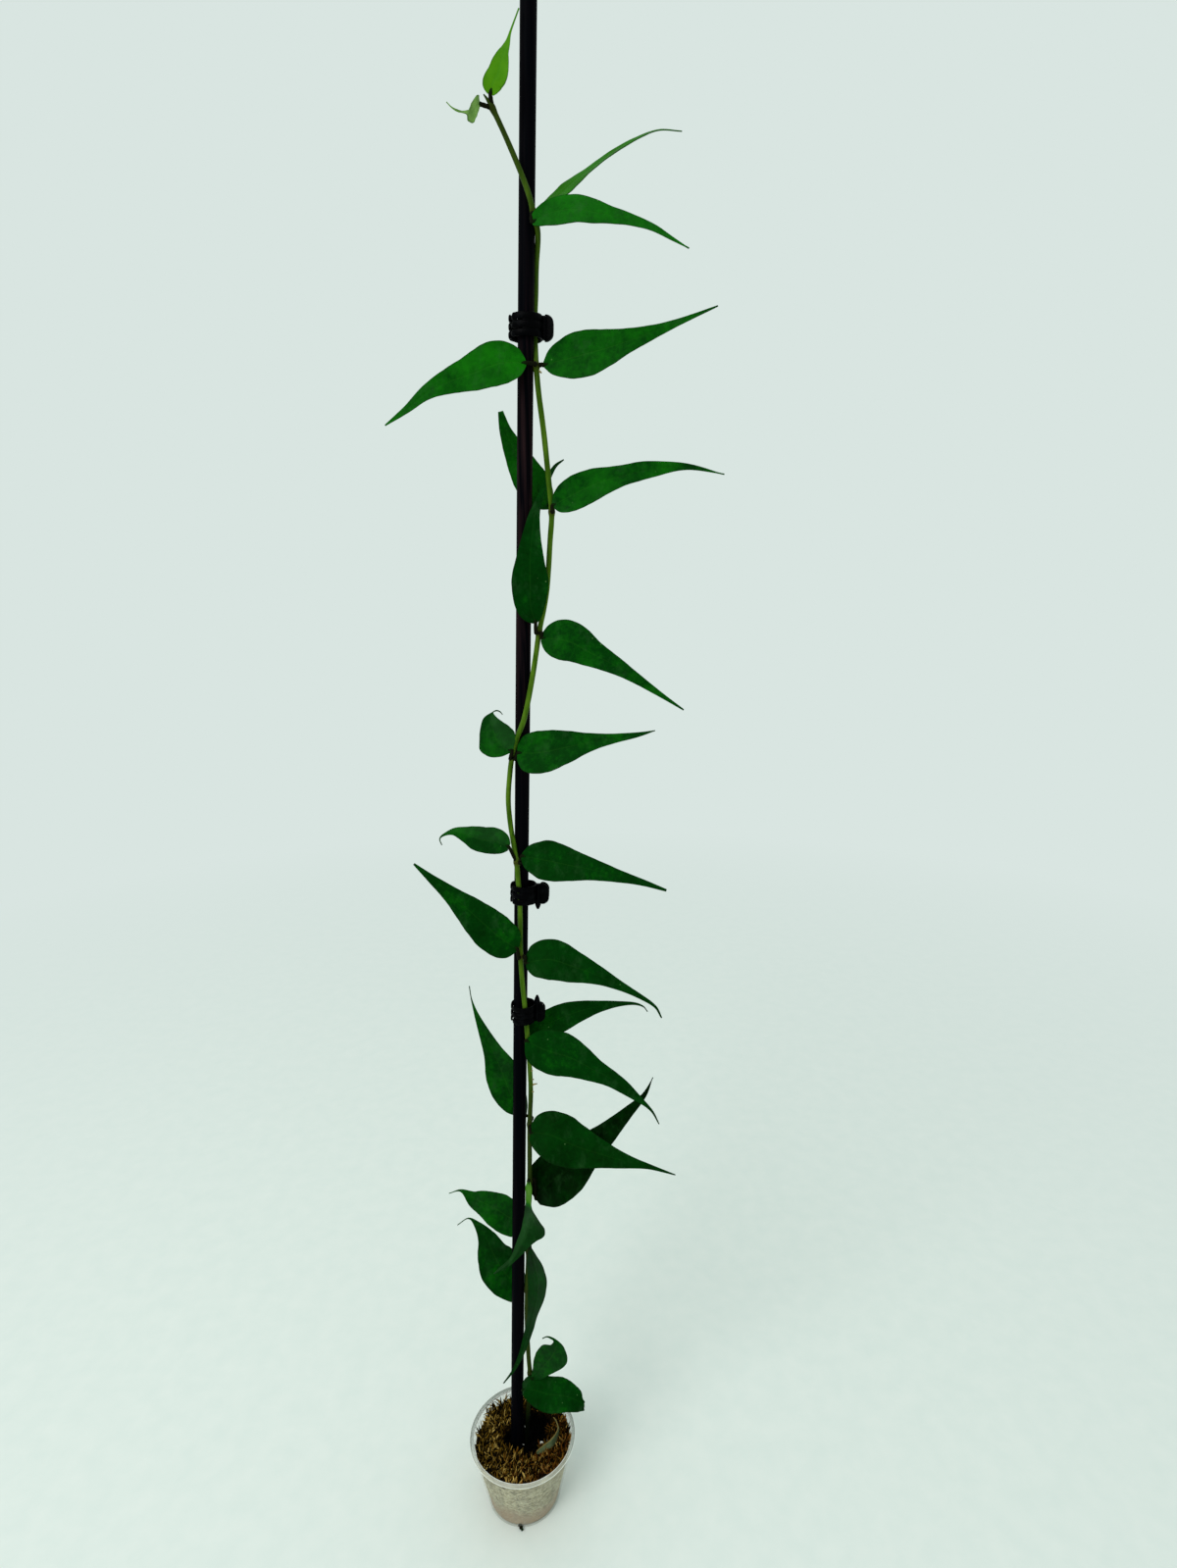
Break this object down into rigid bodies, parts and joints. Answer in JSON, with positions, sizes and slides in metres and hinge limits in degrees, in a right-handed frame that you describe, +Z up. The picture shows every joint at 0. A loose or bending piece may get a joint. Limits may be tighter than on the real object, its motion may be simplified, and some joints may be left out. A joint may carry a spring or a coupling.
{
  "type": "potted climbing plant",
  "caption": "Climbing vine with long pointed leaves, clipped to a tall round stake that stands in a small tapered cup of moss.",
  "frame": {"origin": "middle of the cup's flat base, on the surface that the cup stands on", "axes": "+Z up the stake, +X to the right as seen from the front, the front facing -Y"},
  "size_m": [0.1716, 0.0716, 0.9011],
  "materials": {
    "cup": "gloss",
    "moss": "matte",
    "stake": "satin",
    "stem": "satin",
    "leaf": "satin",
    "young_leaf": "satin",
    "withered_leaf": "matte",
    "clip": "satin"
  },
  "bodies": {
    "root": {"cup": "cup", "moss": "moss", "stake": "stake", "stem": "stem", "withered_leaf": "withered_leaf", "leaf_a_right": "young_leaf", "leaf_a_left": "young_leaf", "leaf_b_upper": "leaf", "leaf_b_lower": "leaf", "leaf_c_left": "leaf", "leaf_c_right": "leaf", "leaf_d_left": "leaf", "leaf_d_right": "leaf", "leaf_e_up": "leaf", "leaf_e_right": "leaf", "leaf_f_left": "leaf", "leaf_f_right": "leaf", "leaf_g_left": "leaf", "leaf_g_right": "leaf", "leaf_h_left": "leaf", "leaf_h_right": "leaf", "leaf_i_back": "leaf", "leaf_i_front": "leaf", "leaf_j_left": "leaf", "leaf_j_right": "leaf", "leaf_k_right": "leaf", "leaf_k_front": "leaf", "leaf_k_left": "leaf", "leaf_l_left": "leaf", "leaf_l_front": "leaf", "leaf_m_curled": "leaf", "leaf_m_blunt": "leaf", "clip_top": "clip", "clip_middle": "clip", "clip_bottom": "clip"}
  },
  "joints": []
}
